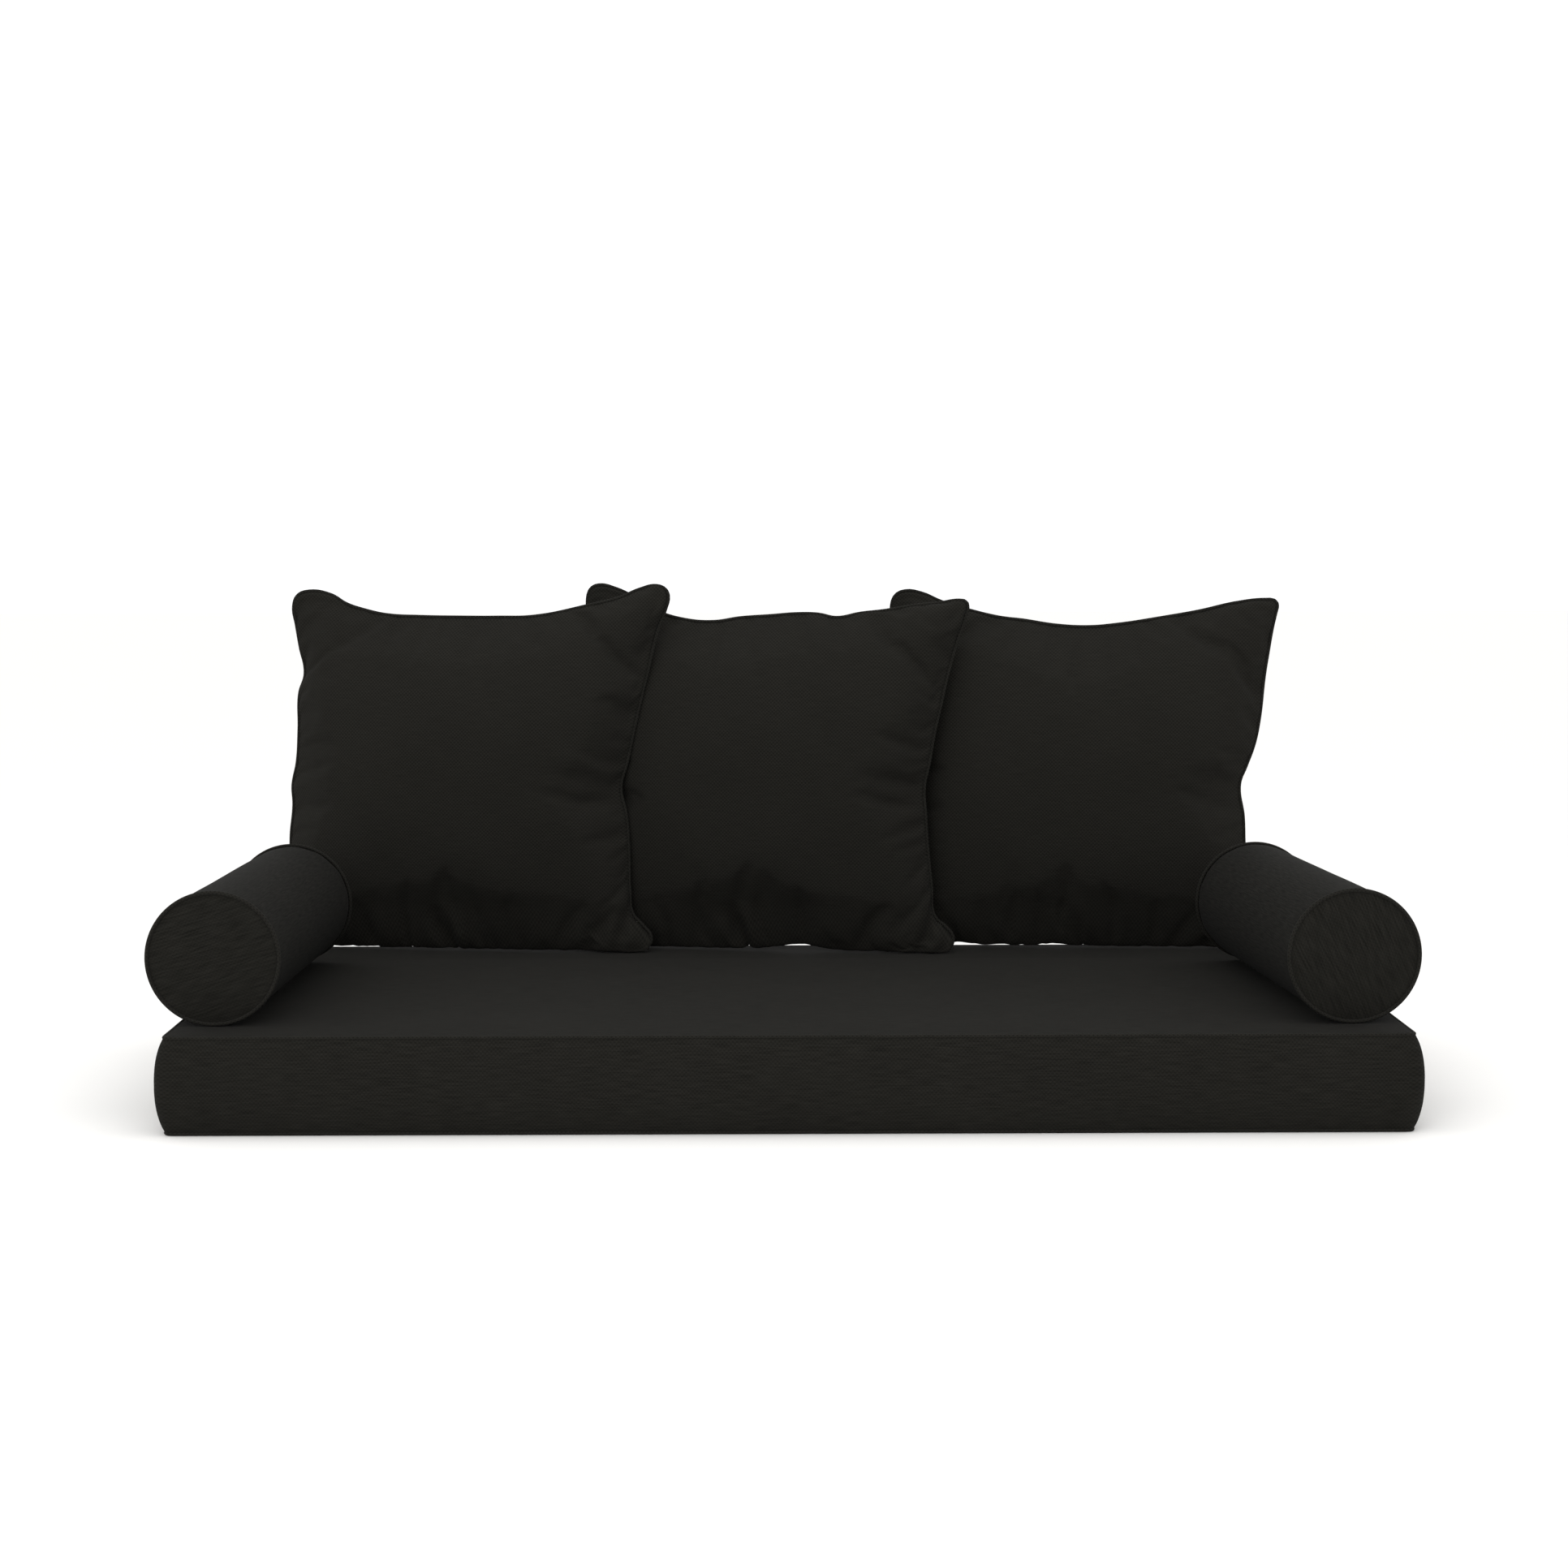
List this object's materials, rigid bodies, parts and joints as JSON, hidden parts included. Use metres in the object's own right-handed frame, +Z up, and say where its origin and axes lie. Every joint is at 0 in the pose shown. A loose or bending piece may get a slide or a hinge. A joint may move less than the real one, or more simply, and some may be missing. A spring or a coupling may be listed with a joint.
{
  "type": "daybed mattress set",
  "caption": "Box-edged daybed mattress with loose piped back pillows and round end bolsters in black woven cloth, all with zipped covers.",
  "frame": {"origin": "centre of the mattress underside", "axes": "+X along the mattress to the right as one faces the set, +Y from front to back, +Z up"},
  "size_m": [1.9708, 1.0902, 0.8199],
  "materials": {
    "cover_cloth": "matte",
    "piping_cloth": "matte",
    "foam": "matte",
    "polyester_wadding": "matte",
    "insert_lining": "matte",
    "zip_tape_cloth": "matte",
    "zip_nylon": "satin",
    "zip_metal": "satin"
  },
  "bodies": {
    "mattress": {"mattress_batting_bottom": "polyester_wadding", "mattress_batting_sides": "polyester_wadding", "mattress_batting_top": "polyester_wadding", "mattress_bottom_panel": "cover_cloth", "mattress_bottom_welt": "piping_cloth", "mattress_boxing": "cover_cloth", "mattress_foam_core": "foam", "mattress_top_panel": "cover_cloth", "mattress_top_welt": "piping_cloth", "mattress_zip_band_lower": "cover_cloth", "mattress_zip_band_upper": "cover_cloth", "mattress_zip_coil": "zip_nylon", "mattress_zip_stops": "zip_metal", "mattress_zip_tape": "zip_tape_cloth"},
    "mattress_zip_slider_body": {"mattress_zip_slider": "zip_metal"},
    "mattress_zip_pull_body": {"mattress_zip_pull": "zip_metal"},
    "left_pillow": {"left_pillow_back_panel": "cover_cloth", "left_pillow_front_panel": "cover_cloth", "left_pillow_insert_casing": "insert_lining", "left_pillow_insert_fill": "polyester_wadding", "left_pillow_welt": "piping_cloth", "left_pillow_zip": "zip_nylon"},
    "left_pillow_zip_slider_body": {"left_pillow_zip_slider": "zip_metal"},
    "left_pillow_zip_pull_body": {"left_pillow_zip_pull": "zip_metal"},
    "middle_pillow": {"middle_pillow_back_panel": "cover_cloth", "middle_pillow_front_panel": "cover_cloth", "middle_pillow_insert_casing": "insert_lining", "middle_pillow_insert_fill": "polyester_wadding", "middle_pillow_welt": "piping_cloth", "middle_pillow_zip": "zip_nylon"},
    "middle_pillow_zip_slider_body": {"middle_pillow_zip_slider": "zip_metal"},
    "middle_pillow_zip_pull_body": {"middle_pillow_zip_pull": "zip_metal"},
    "right_pillow": {"right_pillow_back_panel": "cover_cloth", "right_pillow_front_panel": "cover_cloth", "right_pillow_insert_casing": "insert_lining", "right_pillow_insert_fill": "polyester_wadding", "right_pillow_welt": "piping_cloth", "right_pillow_zip": "zip_nylon"},
    "right_pillow_zip_slider_body": {"right_pillow_zip_slider": "zip_metal"},
    "right_pillow_zip_pull_body": {"right_pillow_zip_pull": "zip_metal"},
    "left_bolster": {"left_bolster_batting_wrap": "polyester_wadding", "left_bolster_foam_core": "foam", "left_bolster_front_disc": "cover_cloth", "left_bolster_front_welt": "piping_cloth", "left_bolster_rear_disc": "cover_cloth", "left_bolster_rear_welt": "piping_cloth", "left_bolster_tube_cover": "cover_cloth", "left_bolster_zip": "zip_nylon"},
    "left_bolster_zip_slider_body": {"left_bolster_zip_slider": "zip_metal"},
    "left_bolster_zip_pull_body": {"left_bolster_zip_pull": "zip_metal"},
    "right_bolster": {"right_bolster_batting_wrap": "polyester_wadding", "right_bolster_foam_core": "foam", "right_bolster_front_disc": "cover_cloth", "right_bolster_front_welt": "piping_cloth", "right_bolster_rear_disc": "cover_cloth", "right_bolster_rear_welt": "piping_cloth", "right_bolster_tube_cover": "cover_cloth", "right_bolster_zip": "zip_nylon"},
    "right_bolster_zip_slider_body": {"right_bolster_zip_slider": "zip_metal"},
    "right_bolster_zip_pull_body": {"right_bolster_zip_pull": "zip_metal"}
  },
  "joints": [
    {"name": "slide_mattress_zip", "type": "slide", "parent": "mattress", "child": "mattress_zip_slider_body", "axis": [-1, 0, 0], "range_m": [0, 1.675]},
    {"name": "swing_mattress_zip_pull", "type": "hinge", "parent": "mattress_zip_slider_body", "child": "mattress_zip_pull_body", "pos_m": [0.8375, 0.5103, 0.076], "axis": [0, 0, -1], "range_deg": [0, 170]},
    {"name": "lift_left_pillow", "type": "slide", "parent": "mattress", "child": "left_pillow", "axis": [0.0109, 0.0689, 0.9976], "range_m": [0, 0.35]},
    {"name": "slide_left_pillow_zip", "type": "slide", "parent": "left_pillow", "child": "left_pillow_zip_slider_body", "axis": [-0.9877, 0.1564, 0], "range_m": [0, 0.355]},
    {"name": "swing_left_pillow_zip_pull", "type": "hinge", "parent": "left_pillow_zip_slider_body", "child": "left_pillow_zip_pull_body", "pos_m": [-0.38505, 0.45248, 0.20178], "axis": [-0.089, -0.562, -0.8223], "range_deg": [0, 170]},
    {"name": "lift_middle_pillow", "type": "slide", "parent": "mattress", "child": "middle_pillow", "axis": [0.0121, 0.0687, 0.9976], "range_m": [0, 0.2]},
    {"name": "slide_middle_pillow_zip", "type": "slide", "parent": "middle_pillow", "child": "middle_pillow_zip_slider_body", "axis": [-0.9848, 0.1736, 0], "range_m": [0, 0.355]},
    {"name": "swing_middle_pillow_zip_pull", "type": "hinge", "parent": "middle_pillow_zip_slider_body", "child": "middle_pillow_zip_pull_body", "pos_m": [0.15694, 0.43534, 0.20178], "axis": [-0.0988, -0.5604, -0.8223], "range_deg": [0, 170]},
    {"name": "lift_right_pillow", "type": "slide", "parent": "mattress", "child": "right_pillow", "axis": [0.0055, 0.0695, 0.9976], "range_m": [0, 0.35]},
    {"name": "slide_right_pillow_zip", "type": "slide", "parent": "right_pillow", "child": "right_pillow_zip_slider_body", "axis": [-0.9969, 0.0785, 0], "range_m": [0, 0.355]},
    {"name": "swing_right_pillow_zip_pull", "type": "hinge", "parent": "right_pillow_zip_slider_body", "child": "right_pillow_zip_pull_body", "pos_m": [0.72432, 0.48316, 0.20173], "axis": [-0.0452, -0.5749, -0.817], "range_deg": [0, 170]},
    {"name": "lift_left_bolster", "type": "slide", "parent": "mattress", "child": "left_bolster", "axis": [0, 0, 1], "range_m": [0, 0.3]},
    {"name": "slide_left_bolster_zip", "type": "slide", "parent": "left_bolster", "child": "left_bolster_zip_slider_body", "axis": [0.0209, 0.9998, 0], "range_m": [0, 0.535]},
    {"name": "swing_left_bolster_zip_pull", "type": "hinge", "parent": "left_bolster_zip_slider_body", "child": "left_bolster_zip_pull_body", "pos_m": [-0.97604, -0.32057, 0.20615], "axis": [-0.4999, 0.0105, 0.866], "range_deg": [0, 170]},
    {"name": "lift_right_bolster", "type": "slide", "parent": "mattress", "child": "right_bolster", "axis": [0, 0, 1], "range_m": [0, 0.3]},
    {"name": "slide_right_bolster_zip", "type": "slide", "parent": "right_bolster", "child": "right_bolster_zip_slider_body", "axis": [-0.0576, 0.9983, 0], "range_m": [0, 0.535]},
    {"name": "swing_right_bolster_zip_pull", "type": "hinge", "parent": "right_bolster_zip_slider_body", "child": "right_bolster_zip_pull_body", "pos_m": [0.95671, -0.32191, 0.20615], "axis": [-0.4992, -0.0288, -0.866], "range_deg": [0, 170]}
  ]
}
